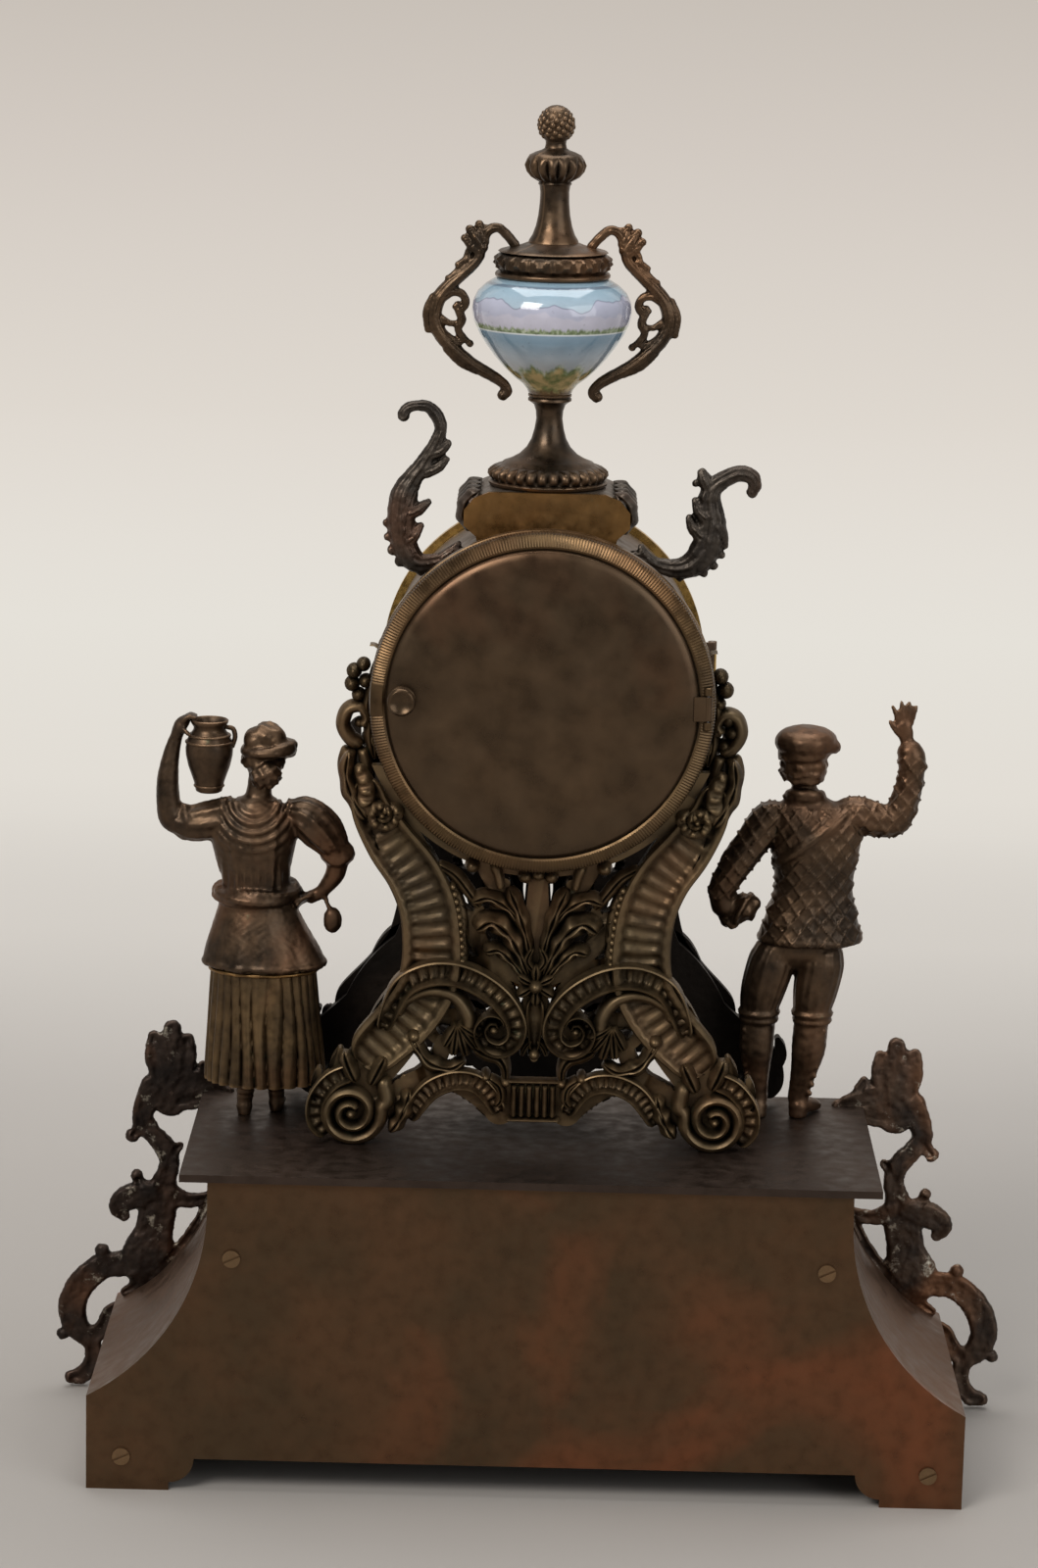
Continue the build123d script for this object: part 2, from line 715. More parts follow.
cannon_teeth = 12
minute_wheel_teeth = 36
motion_reach = wheel_module * (cannon_teeth + minute_wheel_teeth) / 2
minute_angle = radians(205)
minute_place = (motion_reach * cos(minute_angle), drum_axis_height + motion_reach * sin(minute_angle))
stud_length = 8.4
bell_x = 12.0
bell_drop = 8.0
bell_crown = -24.0
bell_wall = 1.0
bell_post_radius = 1.5
bell_nut_radius = 3.0
bell_nut_height = 1.8
bell_place = (bell_x, drum_axis_height - bell_drop)
hammer_pivot = (-30.0, drum_axis_height + 10.0)
hammer_rear = -14.5
hammer_stud_radius = 1.0
hammer_hub_radius = 2.2
hammer_hub_length = 4.0
hammer_shoulder = 1.2


def plate_outline(plate_rear):
    """Round movement plate with its pivot holes."""
    with BuildPart() as body:
        with BuildSketch(upright(plate_rear + plate_gauge)):
            with Locations(centre_place):
                Circle(movement_radius)
                Circle(centre_arbor_radius + pin_clearance, mode=Mode.SUBTRACT)
            with Locations(*pivots):
                Circle(pivot_radius + pin_clearance, mode=Mode.SUBTRACT)
            with Locations(barrel_place, strike_place):
                Circle(winding_arbor_radius + pin_clearance, mode=Mode.SUBTRACT)
        extrude(amount=plate_gauge)
    return body.part


back_plate_body = plate_outline(back_plate_rear)
front_plate_body = plate_outline(front_plate_rear)

with BuildPart() as movement_back_plate:
    add(back_plate_body)
    with BuildSketch(upright(front_plate_rear)):
        with Locations(*pillars):
            Circle(pillar_radius)
    extrude(amount=front_plate_rear - back_plate_rear - plate_gauge)
    with BuildSketch(upright(back_plate_rear)):
        with Locations(bell_place):
            Circle(bell_post_radius)
    extrude(amount=back_plate_rear - bell_crown + bell_nut_height)
    with BuildSketch(upright(bell_crown + 2 * bell_wall + bell_nut_height)):
        with Locations(bell_place):
            Circle(bell_nut_radius)
    extrude(amount=bell_nut_height)
    with BuildSketch(upright(bell_crown)):
        with Locations(bell_place):
            Circle(bell_nut_radius)
    extrude(amount=bell_nut_height)
    with BuildSketch(upright(back_plate_rear)):
        with Locations(hammer_pivot):
            Circle(hammer_stud_radius)
    extrude(amount=back_plate_rear - hammer_rear)
    with BuildSketch(upright(hammer_rear + hammer_hub_length + hammer_shoulder + swing_clearance)):
        with Locations(hammer_pivot):
            Circle(hammer_hub_radius)
    extrude(amount=hammer_shoulder)
save(movement_back_plate, "movement_back_plate")

with BuildPart() as movement_front_plate:
    add(front_plate_body)
    with BuildSketch(upright(front_plate_front + stud_length)):
        with Locations(minute_place):
            Circle(pivot_radius)
    extrude(amount=stud_length)
save(movement_front_plate, "movement_front_plate")

# Two straps that draw the dial and the rear ring together, with arms that hold the movement

strap_radius = 48.6
strap_width = 4.0
strap_thickness = 1.6
arm_length = 8.0

with BuildPart() as case_straps:
    with BuildSketch(upright(dial_rear)):
        for side in (-1, 1):
            with Locations((side * strap_radius, drum_axis_height)):
                Rectangle(strap_thickness, strap_width)
    extrude(amount=dial_rear - drum_rear)
    with BuildSketch(upright(front_plate_front + strap_thickness)):
        for side in (-1, 1):
            with Locations((side * (strap_radius - arm_length / 2), drum_axis_height)):
                Rectangle(arm_length, strap_width)
    extrude(amount=strap_thickness)
save(case_straps, "case_straps")

# Spring barrels of the going and striking trains

barrel_body_radius = 16.5
barrel_flange = 8.0
barrel_flange_thickness = 2.0
barrel_body_front = 22.0
barrel_wall = 1.0


def barrel(place, phase):
    """Hollow toothed barrel that turns on the winding arbor."""
    teeth = gear_face(barrel_teeth, barrel_module, phase)
    with BuildPart() as body:
        with BuildSketch(upright(barrel_flange + barrel_flange_thickness)):
            with Locations(place):
                add(teeth)
        extrude(amount=barrel_flange_thickness)
        with BuildSketch(upright(barrel_body_front)):
            with Locations(place):
                Circle(barrel_body_radius)
        extrude(amount=barrel_body_front - barrel_flange)
        with BuildSketch(upright(barrel_body_front - barrel_wall)):
            with Locations(place):
                Circle(barrel_body_radius - barrel_wall)
        extrude(amount=barrel_body_front - barrel_flange - 2 * barrel_wall, mode=Mode.SUBTRACT)
        with BuildSketch(upright(barrel_body_front)):
            with Locations(place):
                Circle(winding_arbor_radius + pin_clearance)
        extrude(amount=barrel_body_front - barrel_flange, mode=Mode.SUBTRACT)
    return body


def facing(a, b):
    """Angle of the line from one place to another."""
    return atan2(b[1] - a[1], b[0] - a[0])


def gap_phase(a, b, teeth):
    """Phase that turns a gap of the wheel at the first place towards the second place."""
    return facing(a, b) + pi / teeth


save(barrel(barrel_place, facing(barrel_place, great_place)), "time_barrel")
save(barrel(strike_place, facing(strike_place, pin_wheel_place)), "strike_barrel")

# Mainsprings, flat strips coiled inside the barrels

spring_thickness = 0.5
spring_pitch = 1.6
spring_inner = 4.0
spring_turns = 6
spring_width = 10.0
spring_turn_steps = 24


def mainspring(place):
    """Coiled flat spring between the winding arbor and the barrel wall."""
    steps = spring_turn_steps * spring_turns
    inner, outer = [], []
    for n in range(steps + 1):
        a = 2 * pi * n / spring_turn_steps
        r = spring_inner + spring_pitch * n / spring_turn_steps
        inner.append((place[0] + r * cos(a), place[1] + r * sin(a)))
        outer.append((place[0] + (r + spring_thickness) * cos(a), place[1] + (r + spring_thickness) * sin(a)))
    lines = Spline(*inner) + Line(inner[-1], outer[-1]) + Spline(*outer[::-1]) + Line(outer[0], inner[0])
    strip = make_face(lines.edges())
    with BuildPart() as body:
        with BuildSketch(upright(barrel_flange + barrel_wall + spring_width + running_clearance)):
            add(strip)
        extrude(amount=spring_width)
    return body


spring_bodies = [mainspring(place).part for place in (barrel_place, strike_place)]

with BuildPart() as mainsprings:
    for spring_body in spring_bodies:
        add(spring_body)
save(mainsprings, "mainsprings")

# Winding arbors with square ends behind the dial holes

arbor_end = 45.4
square_length = 6.0
square_side = 2.7
arbor_shoulder = 3.2
arbor_shoulder_length = 1.2


def winding_arbor(place):
    """Barrel arbor that passes both movement plates and ends in a square for the key."""
    with BuildPart() as body:
        with BuildSketch(upright(arbor_end - square_length)):
            with Locations(place):
                Circle(winding_arbor_radius)
        extrude(amount=arbor_end - square_length - back_plate_rear)
        with BuildSketch(upright(arbor_end)):
            with Locations(place):
                Rectangle(square_side, square_side)
        extrude(amount=square_length)
        with BuildSketch(upright(front_plate_rear - swing_clearance)):
            with Locations(place):
                Circle(arbor_shoulder)
        extrude(amount=arbor_shoulder_length)
    return body


save(winding_arbor(barrel_place), "time_winding_arbor")
save(winding_arbor(strike_place), "strike_winding_arbor")

# Wheels between the plates, each an arbor with its pinion and wheel

back_shoulder = back_plate_rear + plate_gauge + swing_clearance
front_shoulder = front_plate_rear - swing_clearance


def arbor(place, radius, discs):
    """Arbor with end pivots and a list of (face, front, thickness) wheels on it."""
    with BuildPart() as body:
        with BuildSketch(upright(front_shoulder)):
            with Locations(place):
                Circle(radius)
        extrude(amount=front_shoulder - back_shoulder)
        with BuildSketch(upright(front_plate_rear + plate_gauge)):
            with Locations(place):
                Circle(pivot_radius)
        extrude(amount=front_plate_rear - back_plate_rear)
        for face, front, thickness in discs:
            with BuildSketch(upright(front)):
                with Locations(place):
                    add(face)
            extrude(amount=thickness)
    return body


pinion_length = 2.6
wheel_thickness = 1.2
great_pinion_front = 10.4
great_wheel_front = 27.4
centre_wheel_front = 31.4
third_wheel_front = 23.8
great_teeth = gear_face(
    great_pinion_teeth, barrel_module, gap_phase(great_place, barrel_place, great_pinion_teeth),
)
great_wheel = gear_face(great_wheel_teeth, wheel_module, facing(great_place, centre_place))
save(
    arbor(
        great_place,
        arbor_radius,
        [(great_teeth, great_pinion_front, pinion_length), (great_wheel, great_wheel_front, wheel_thickness)],
    ),
    "intermediate_wheel",
)

third_pinion = gear_face(
    third_pinion_teeth, wheel_module, gap_phase(third_place, centre_place, third_pinion_teeth),
)
third_wheel = gear_face(third_wheel_teeth, wheel_module, facing(third_place, escape_place))
third_pinion_front = centre_wheel_front + (pinion_length - wheel_thickness) / 2
save(
    arbor(
        third_place,
        arbor_radius,
        [
            (third_pinion, third_pinion_front, pinion_length),
            (third_wheel, third_wheel_front, wheel_thickness),
        ],
    ),
    "third_wheel",
)

escape_teeth = 16
escape_radius = 6.5
escape_root = 5.0
escape_front = 10.0
escape_pinion = gear_face(
    escape_pinion_teeth, wheel_module, gap_phase(escape_place, third_place, escape_pinion_teeth),
)
escape_points = []
for n in range(escape_teeth):
    tooth = 2 * pi * n / escape_teeth
    lean = tooth + pi / escape_teeth
    escape_points.append((escape_radius * cos(tooth), escape_radius * sin(tooth)))
    escape_points.append((escape_root * cos(lean), escape_root * sin(lean)))
escape_face = make_face(Polyline(*escape_points, close=True).edges())
save(
    arbor(
        escape_place,
        arbor_radius,
        [
            (escape_pinion, third_wheel_front + (pinion_length - wheel_thickness) / 2, pinion_length),
            (escape_face, escape_front, wheel_thickness),
        ],
    ),
    "escape_wheel",
)

pin_count = 8
pin_wheel_radius = 10.5
pin_circle = 9.0
lifting_pin_radius = 0.5
lifting_pin_length = 2.2
pin_wheel_front = 25.4
strike_pinion = gear_face(
    great_pinion_teeth, barrel_module, gap_phase(pin_wheel_place, strike_place, great_pinion_teeth),
)
pin_disc = Circle(pin_wheel_radius)
pin_ring = Sketch() + [
    Pos(
        *(pin_circle * cos(2 * pi * n / pin_count), pin_circle * sin(2 * pi * n / pin_count))
    ) * Circle(lifting_pin_radius)
    for n in range(pin_count)
]
save(
    arbor(
        pin_wheel_place,
        arbor_radius,
        [
            (strike_pinion, great_pinion_front, pinion_length),
            (pin_disc, pin_wheel_front, wheel_thickness),
            (pin_ring, pin_wheel_front + lifting_pin_length, wheel_thickness + lifting_pin_length),
        ],
    ),
    "strike_pin_wheel",
)

# Centre arbor with its pinion, centre wheel and cannon pinion, which carries the minute hand

hand_front = 52.4
cannon_front = 40.6
minute_pinion_teeth = 10
hour_wheel_teeth = 40
hour_module = 2 * motion_reach / (minute_pinion_teeth + hour_wheel_teeth)
centre_pinion = gear_face(
    centre_pinion_teeth, wheel_module, gap_phase(centre_place, great_place, centre_pinion_teeth),
)
centre_wheel = gear_face(centre_wheel_teeth, wheel_module, facing(centre_place, third_place))
cannon = gear_face(cannon_teeth, wheel_module, gap_phase(centre_place, minute_place, cannon_teeth))

with BuildPart() as centre_wheel_arbor:
    with BuildSketch(upright(hand_front)):
        with Locations(centre_place):
            Circle(centre_arbor_radius)
    extrude(amount=hand_front - back_plate_rear)
    with BuildSketch(upright(great_wheel_front + (pinion_length - wheel_thickness) / 2)):
        with Locations(centre_place):
            add(centre_pinion)
    extrude(amount=pinion_length)
    with BuildSketch(upright(centre_wheel_front)):
        with Locations(centre_place):
            add(centre_wheel)
    extrude(amount=wheel_thickness)
    with BuildSketch(upright(cannon_front)):
        with Locations(centre_place):
            add(cannon)
    extrude(amount=pinion_length)
save(centre_wheel_arbor, "centre_wheel_arbor")

# Minute wheel on a stud of the front plate, and the hour wheel on its pipe

minute_wheel_front = 40.4
minute_pinion_front = 44.0
hour_wheel_front = 43.4
hour_pipe_radius = 2.8
hour_pipe_front = 49.6
hub_radius = 2.0
minute_wheel_teeth_face = gear_face(minute_wheel_teeth, wheel_module, facing(minute_place, centre_place))
minute_pinion_face = gear_face(
    minute_pinion_teeth, hour_module, gap_phase(minute_place, centre_place, minute_pinion_teeth),
)
hour_wheel_face = gear_face(hour_wheel_teeth, hour_module, facing(centre_place, minute_place))

with BuildPart() as minute_wheel:
    with BuildSketch(upright(minute_wheel_front)):
        with Locations(minute_place):
            add(minute_wheel_teeth_face)
    extrude(amount=wheel_thickness)
    with BuildSketch(upright(minute_pinion_front)):
        with Locations(minute_place):
            add(minute_pinion_face)
    extrude(amount=minute_pinion_front - minute_wheel_front)
    with BuildSketch(upright(minute_pinion_front)):
        with Locations(minute_place):
            Circle(pivot_radius + pin_clearance)
    extrude(amount=stud_length, mode=Mode.SUBTRACT)
save(minute_wheel, "minute_wheel")

with BuildPart() as hour_wheel:
    with BuildSketch(upright(hour_wheel_front)):
        with Locations(centre_place):
            add(hour_wheel_face)
    extrude(amount=wheel_thickness)
    with BuildSketch(upright(hour_pipe_front)):
        with Locations(centre_place):
            Circle(hour_pipe_radius)
    extrude(amount=hour_pipe_front - hour_wheel_front + wheel_thickness)
    with BuildSketch(upright(hour_pipe_front)):
        with Locations(centre_place):
            Circle(centre_arbor_radius + running_clearance)
    extrude(amount=stud_length, mode=Mode.SUBTRACT)
save(hour_wheel, "hour_wheel")

# Hands, set at ten past ten

hour_hand_length = 25.0
minute_hand_length = 37.0
hand_thickness = 0.8
hand_boss = 3.8
hour_hand_front = 49.4
minute_hand_front = 51.4
hours_per_turn = 12
minutes_per_hour = 60
shown_hour = 10
shown_minute = 10
minute_share = shown_minute / minutes_per_hour
hour_share = (shown_hour + minute_share) / hours_per_turn
hand_shares = [
    (0.0, 0.045), (0.35, 0.03), (0.42, 0.075), (0.52, 0.10), (0.62, 0.06), (0.70, 0.03), (0.84, 0.055),
    (1.0, 0.006),
]


def hand(length, turn_share, bore, front):
    """Pierced-style hand that points to its share of a turn, clockwise for someone in front."""
    turn = 2 * pi * turn_share
    tip = (-sin(turn), cos(turn))
    left, right = [], []
    for s, w in hand_shares:
        left.append(
            (length * (s * tip[0] - w * tip[1]), drum_axis_height + length * (s * tip[1] + w * tip[0]))
        )
        right.append(
            (length * (s * tip[0] + w * tip[1]), drum_axis_height + length * (s * tip[1] - w * tip[0]))
        )
    with BuildPart() as body:
        with BuildSketch(upright(front)):
            with BuildLine():
                Polyline(*left, *right[::-1], close=True)
            make_face()
            with Locations(centre_place):
                Circle(hand_boss)
                Circle(bore, mode=Mode.SUBTRACT)
        extrude(amount=hand_thickness)
    return body


save(hand(hour_hand_length, hour_share, hour_pipe_radius, hour_hand_front), "hour_hand")
save(hand(minute_hand_length, minute_share, centre_arbor_radius, minute_hand_front), "minute_hand")

# Anchor with its arbor and the crutch behind the back plate

anchor_arm_shares = [(0.0, 0.0, 0.10), (0.45, -0.05, 0.09), (0.90, -0.30, 0.075), (1.0, -0.68, 0.05)]
anchor_span = 7.6
anchor_front = 10.0
crutch_front = 2.6
crutch_length = 26.0
crutch_thickness = 0.9
crutch_width = 1.6
fork_gap = 1.5
fork_width = 0.9
pallet_arms = bands([anchor_arm_shares], anchor_span, anchor_place) + [
    mirror(bands([anchor_arm_shares], anchor_span, anchor_place)[0], Plane.YZ)
]

with BuildPart() as anchor_and_crutch:
    with BuildSketch(upright(front_shoulder)):
        with Locations(anchor_place):
            Circle(arbor_radius)
    extrude(amount=front_shoulder - back_shoulder)
    with BuildSketch(upright(front_plate_rear + plate_gauge)):
        with Locations(anchor_place):
            Circle(pivot_radius)
    extrude(amount=front_plate_rear + plate_gauge - crutch_front + crutch_thickness)
    with BuildSketch(upright(anchor_front)):
        for arm in pallet_arms:
            add(arm)
    extrude(amount=wheel_thickness)
    with BuildSketch(upright(crutch_front)):
        with Locations((0, anchor_place[1] - crutch_length / 2)):
            Rectangle(crutch_width, crutch_length)
        with Locations(anchor_place):
            Circle(hub_radius)
        with Locations((0, anchor_place[1] - crutch_length)):
            Rectangle(2 * (fork_gap + fork_width), crutch_width)
    extrude(amount=crutch_thickness)
    with BuildSketch(upright(crutch_front)):
        for side in (-1, 1):
            with Locations((side * (fork_gap + fork_width / 2), anchor_place[1] - crutch_length)):
                Rectangle(fork_width, crutch_width)
    extrude(amount=crutch_front - pendulum_y + fork_width)
save(anchor_and_crutch, "anchor_and_crutch")

# Pendulum cock on the back plate, with the stud the pendulum hangs on

cock_rear = -5.8
cock_gauge = 1.3
cock_half_width = 10.0
cock_post_radius = 1.5
cock_height = 5.0
cock_post_spread = 8.4
cock_post_drop = 1.2
hang_stud_radius = 0.8
hang_stud_front = -1.2
cock_posts = [(side * cock_post_spread, anchor_place[1] - cock_post_drop) for side in (-1, 1)]

with BuildPart() as pendulum_cock:
    with BuildSketch(upright(back_plate_rear)):
        with Locations(*cock_posts):
            Circle(cock_post_radius)
    extrude(amount=back_plate_rear - cock_rear)
    with BuildSketch(upright(cock_rear + cock_gauge)):
        with Locations(anchor_place):
            Rectangle(2 * cock_half_width, cock_height)
    extrude(amount=cock_gauge)
    with BuildSketch(upright(hang_stud_front)):
        with Locations(anchor_place):
            Circle(hang_stud_radius)
    extrude(amount=hang_stud_front - cock_rear - cock_gauge)
save(pendulum_cock, "pendulum_cock")

# Pendulum with a lens bob and a rating nut

pendulum_length = 134.0
pendulum_rod_radius = 0.7
bob_radius = 11.0
bob_edge = 1.2
bob_thickness = 6.0
eye_radius = 2.0
eye_thickness = 1.8
rating_nut_radius = 2.6
rating_nut_height = 2.4
bob_height = anchor_place[1] - pendulum_length
bob_shares = [
    (0.0, 0.5), (0.55, 0.42), (0.85, 0.26), (1.0, 0.10), (1.0, -0.10), (0.85, -0.26), (0.55, -0.42),
    (0.0, -0.5),
]
bob_points = [(r * bob_radius, t * bob_thickness) for r, t in bob_shares]

with BuildPart() as pendulum:
    with BuildSketch(Plane(origin=(0, pendulum_y, bob_height), x_dir=(1, 0, 0), z_dir=(0, 0, 1))):
        with BuildLine():
            Polyline(*bob_points, close=True)
        make_face()
    revolve(axis=Axis((0, pendulum_y, bob_height), (0, 1, 0)))
    with Locations((0, pendulum_y, bob_height - bob_radius - rating_nut_height)):
        Cylinder(
            pendulum_rod_radius,
            pendulum_length + bob_radius + rating_nut_height - (eye_radius + hang_stud_radius) / 2,
            align=(Align.CENTER, Align.CENTER, Align.MIN),
        )
        Cylinder(rating_nut_radius, rating_nut_height, align=(Align.CENTER, Align.CENTER, Align.MIN))
    with BuildSketch(upright(pendulum_y + eye_thickness / 2)):
        with Locations(anchor_place):
            Circle(eye_radius)
    extrude(amount=eye_thickness)
    with BuildSketch(upright(pendulum_y + eye_thickness)):
        with Locations(anchor_place):
            Circle(hang_stud_radius + pin_clearance)
    extrude(amount=2 * eye_thickness, mode=Mode.SUBTRACT)
save(pendulum, "pendulum")

# Bell on its post behind the back plate

bell_radius = 29.0
bell_rim = -10.0
bell_bore = bell_post_radius + pin_clearance
bell_depth = bell_rim - bell_crown
bell_outer_shares = [(1.0, 0.0), (0.97, 0.25), (0.88, 0.60), (0.70, 0.86), (0.40, 0.99), (0.12, 1.0)]

with BuildPart() as bell:
    outer = [(r * bell_radius, t * bell_depth) for r, t in bell_outer_shares]
    inner = [
        (r * (bell_radius - bell_wall), t * (bell_depth - bell_wall))
        for r, t in bell_outer_shares[::-1]
    ]
    with BuildSketch(
        Plane(origin=(bell_place[0], bell_rim, bell_place[1]), x_dir=(1, 0, 0), z_dir=(0, 0, -1))
    ):
        with BuildLine():
            Polyline(*outer, *inner, close=True)
        make_face()
    revolve(axis=Axis((bell_place[0], bell_rim, bell_place[1]), (0, 1, 0)))
    with BuildSketch(upright(bell_crown + 2 * bell_wall)):
        with Locations(bell_place):
            Circle(hour_pipe_radius * 2)
            Circle(bell_bore, mode=Mode.SUBTRACT)
    extrude(amount=bell_wall)
    with BuildSketch(upright(bell_rim)):
        with Locations(bell_place):
            Circle(bell_bore)
    extrude(amount=2 * bell_depth, mode=Mode.SUBTRACT)
save(bell, "bell")

# Hammer that swings beside the rim of the bell

hammer_head = (-22.6, drum_axis_height - 20.0)
hammer_head_radius = 2.4
hammer_head_length = 4.0
hammer_arm_width = 0.9
hammer_arm = band([(*hammer_pivot, hammer_arm_width), (*hammer_head, hammer_arm_width)])

with BuildPart() as hammer:
    with BuildSketch(upright(hammer_rear + hammer_hub_length)):
        with Locations(hammer_pivot):
            Circle(hammer_hub_radius)
    extrude(amount=hammer_hub_length)
    with BuildSketch(upright(hammer_rear + wheel_thickness)):
        add(hammer_arm)
    extrude(amount=wheel_thickness)
    with BuildSketch(upright(hammer_rear + hammer_head_length)):
        with Locations(hammer_head):
            Circle(hammer_head_radius)
    extrude(amount=hammer_head_length)
    with BuildSketch(upright(hammer_rear + hammer_hub_length)):
        with Locations(hammer_pivot):
            Circle(hammer_stud_radius + pin_clearance)
    extrude(amount=hammer_hub_length, mode=Mode.SUBTRACT)
save(hammer, "hammer")

# Waist castings under the drum: pierced frames with scrolled legs

waist_height = 100.0
frame_depth = 8.0
rear_frame_rear = ring_front
front_frame_rear = waist_front_y - frame_depth / 2
collar_width = 8.0
collar_drop = 24.0
foot_scroll_share = 0.112
foot_scroll_x_share = 0.60
rosette_share = 0.055
volute_share = 0.05
volute_x_share = 0.12
volute_z_share = 0.42
rosette_z_share = 0.54
bar_width_share = 0.22
bar_height_share = 0.14
bar_rise_share = 0.155
front_splay_share = 0.2247
leg_shares = [
    (0.50, 1.13, 0.06), (0.44, 1.00, 0.075), (0.375, 0.875, 0.082), (0.34, 0.72, 0.085),
    (0.37, 0.53, 0.085), (0.47, 0.35, 0.085), (0.59, 0.20, 0.085),
]
arc_shares = [
    (0.55, 0.28, 0.035), (0.47, 0.47, 0.045), (0.36, 0.57, 0.048), (0.22, 0.60, 0.048),
    (0.11, 0.53, 0.04), (0.085, 0.43, 0.035), (0.15, 0.37, 0.03),
]
stretcher_shares = [
    (0.52, 0.08, 0.035), (0.42, 0.19, 0.04), (0.30, 0.225, 0.04), (0.19, 0.18, 0.04),
    (0.11, 0.12, 0.05),
]
leaf_shares = [
    [(0.0, 0.56, 0.035), (0.0, 0.70, 0.045), (0.0, 0.84, 0.035), (0.0, 0.93, 0.03)],
    [(0.02, 0.58, 0.025), (0.08, 0.70, 0.034), (0.125, 0.80, 0.032), (0.11, 0.89, 0.018)],
    [(0.04, 0.57, 0.025), (0.14, 0.64, 0.034), (0.20, 0.72, 0.03), (0.19, 0.80, 0.016)],
    [(0.12, 0.86, 0.02), (0.17, 0.92, 0.02), (0.19, 0.98, 0.02)],
    [(0.20, 0.74, 0.018), (0.25, 0.80, 0.018), (0.30, 0.80, 0.02)],
    [(0.0, 0.56, 0.04), (0.0, 0.42, 0.035), (0.0, 0.30, 0.012)],
    [(0.16, 0.40, 0.02), (0.26, 0.44, 0.03), (0.34, 0.42, 0.025), (0.30, 0.34, 0.02)],
    [(0.30, 0.34, 0.03), (0.34, 0.26, 0.03), (0.42, 0.20, 0.03)],
    [(0.62, 0.19, 0.025), (0.655, 0.26, 0.02), (0.64, 0.31, 0.01)],
    [(0.69, 0.14, 0.02), (0.715, 0.20, 0.02), (0.71, 0.24, 0.01)],
]


def splayed(shares, splay):
    """Spreads the lower part of a table of shares outwards."""
    return [(x * (1 + splay * max(0, 1 - z)), z, w) for x, z, w in shares]


def waist_members(splay):
    """Faces of the legs, arcs, leaves and stretcher of one frame, both halves."""
    table = [splayed(row, splay) for row in [leg_shares, arc_shares, stretcher_shares] + leaf_shares]
    faces = []
    for side in (-1, 1):
        faces += bands(table, waist_height, (0, plinth_height), side)
    return faces


def waist_frame(rear, splay, stud_x, stud_y):
    """Pierced frame with a collar that fits round the lower part of the drum."""
    faces = waist_members(splay)
    foot_x = foot_scroll_x_share * (1 + splay * (1 - foot_scroll_share)) * waist_height
    with BuildPart() as body:
        with BuildSketch(upright(rear + frame_depth)):
            with Locations((0, drum_axis_height)):
                Circle(drum_radius + collar_width)
            with Locations((0, drum_axis_height - collar_drop - drum_radius)):
                Rectangle(4 * drum_radius, 2 * drum_radius, mode=Mode.INTERSECT)
            for face in faces:
                add(face)
            with Locations(
                *[(side * foot_x, plinth_height + foot_scroll_share * waist_height) for side in (-1, 1)]
            ):
                Circle(foot_scroll_share * waist_height)
            with Locations(
                *[
                    (
                        side * volute_x_share * waist_height,
                        plinth_height + volute_z_share * waist_height,
                    )
                    for side in (-1, 1)
                ]
            ):
                Circle(volute_share * waist_height)
            with Locations((0, plinth_height + rosette_z_share * waist_height)):
                Circle(rosette_share * waist_height)
            with Locations((0, plinth_height + bar_rise_share * waist_height)):
                Rectangle(bar_width_share * waist_height, bar_height_share * waist_height)
            with Locations((0, drum_axis_height)):
                Circle(drum_radius, mode=Mode.SUBTRACT)
        extrude(amount=frame_depth)
        with BuildSketch(level(plinth_height)):
            with Locations(*[(side * stud_x, stud_y) for side in (-1, 1)]):
                Circle(stud_radius + pin_clearance)
        extrude(amount=stud_reach, mode=Mode.SUBTRACT)
    return body


stud_reach = 6.0
save(waist_frame(rear_frame_rear, 0, waist_stud_x, waist_rear_y), "rear_waist_frame")
save(waist_frame(front_frame_rear, front_splay_share, front_stud_x, waist_front_y), "front_waist_frame")

# Studs that hold the frames and the figures to the top plate, each with a nut below it

nut_radius = 3.4
nut_height = 2.6
stud_tail = 1.0

with BuildPart() as fixing_studs:
    with BuildSketch(level(panel_top - nut_height - stud_tail)):
        with Locations(*stud_places):
            Circle(stud_radius)
    extrude(amount=stud_reach + plate_thickness + nut_height + stud_tail)
    with BuildSketch(level(panel_top - nut_height)):
        with Locations(*stud_places):
            RegularPolygon(nut_radius, 6)
    extrude(amount=nut_height)
save(fixing_studs, "fixing_studs")

# Cast leaf ornaments on the two sides of the drum

ornament_height = 50.0
ornament_rear = rear_frame_rear + frame_depth
ornament_depth = 9.0
ornament_drop_share = 0.76
ornament_base = drum_axis_height - ornament_height * ornament_drop_share
ornament_shares = [
    [
        (1.06, 0.04, 0.07), (1.17, 0.20, 0.09), (1.21, 0.42, 0.09), (1.17, 0.60, 0.09),
        (1.14, 0.80, 0.10), (1.12, 0.98, 0.07),
    ],
    [(1.17, 0.18, 0.06), (1.08, 0.30, 0.08), (1.05, 0.46, 0.06)],
    [(1.20, 0.60, 0.07), (1.28, 0.70, 0.05), (1.24, 0.78, 0.05)],
    [(1.18, 0.84, 0.06), (1.25, 0.92, 0.05)],
]

leaf_members = []
for side in (-1, 1):
    leaf_members += bands(ornament_shares, ornament_height, (0, ornament_base), side)

with BuildPart() as drum_leaves:
    with BuildSketch(upright(ornament_rear + ornament_depth)):
        for member in leaf_members:
            add(member)
        with Locations(*[(side * (drum_radius + running_clearance), drum_axis_height) for side in (-1, 1)]):
            Rectangle(ornament_depth, ornament_height / 2)
        with Locations((0, drum_axis_height)):
            Circle(drum_radius, mode=Mode.SUBTRACT)
    extrude(amount=ornament_depth)
save(drum_leaves, "drum_leaves")

# Two leafy scrolls that stand on the shoulders of the drum

